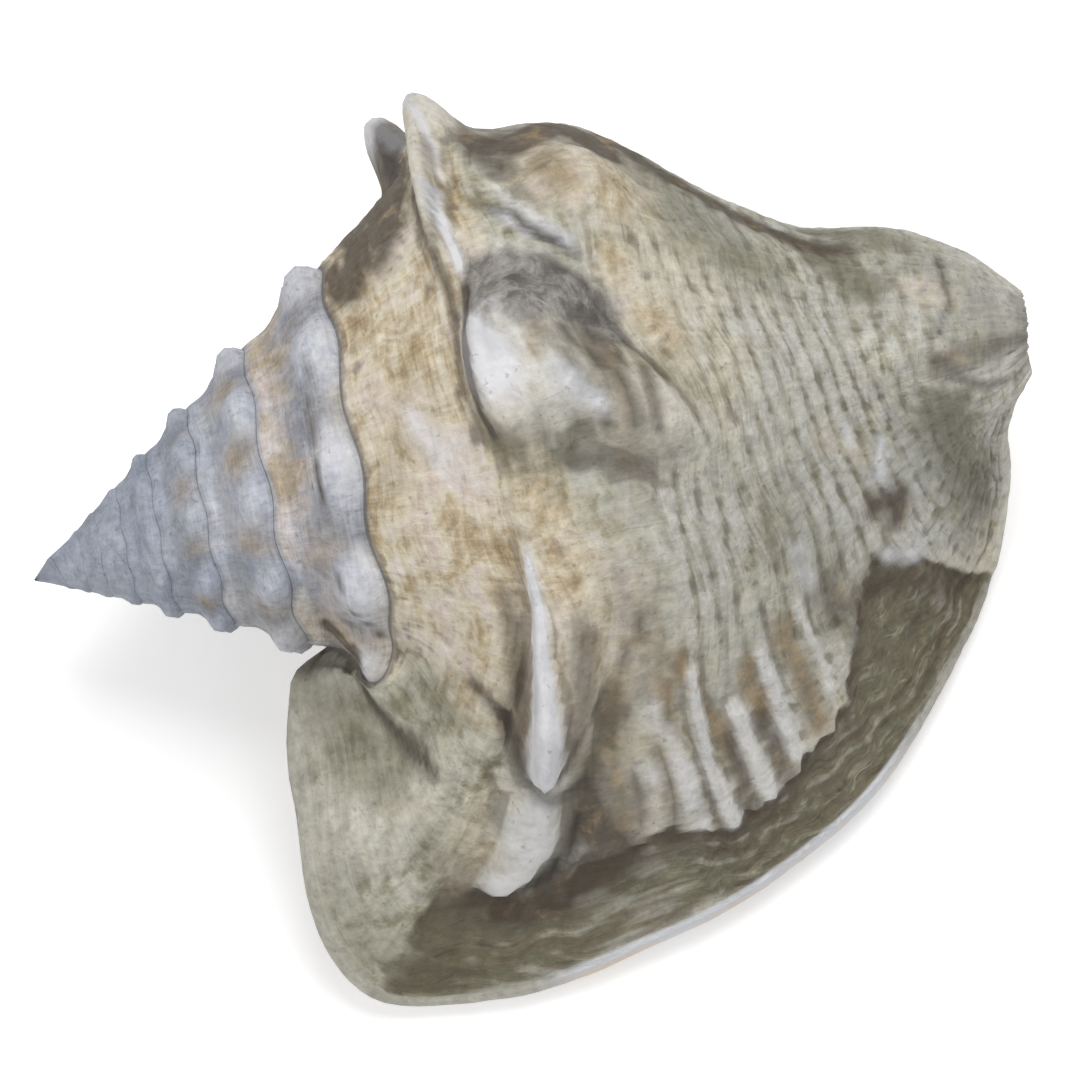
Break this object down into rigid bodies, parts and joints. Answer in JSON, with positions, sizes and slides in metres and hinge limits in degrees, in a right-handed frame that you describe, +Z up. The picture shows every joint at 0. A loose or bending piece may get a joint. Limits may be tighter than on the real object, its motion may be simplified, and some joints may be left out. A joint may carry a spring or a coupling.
{
  "type": "conch shell",
  "caption": "Heavy coiled sea shell with a tall knobbed spire, spines on the shoulder, a broad flared lip and an open mouth underneath, lying mouth down.",
  "frame": {"origin": "middle of the bounding box's base, on the surface that the shell lies on", "axes": "+X from the spire's tip towards the canal's end, +Z up from the table with the mouth facing down, and the flared lip reaches towards -Y"},
  "size_m": [0.1708, 0.1442, 0.0911],
  "materials": {
    "shell": "weathered chalky outside, glossy inside the mouth"
  },
  "bodies": {
    "root": {"shell": "shell"}
  },
  "joints": []
}
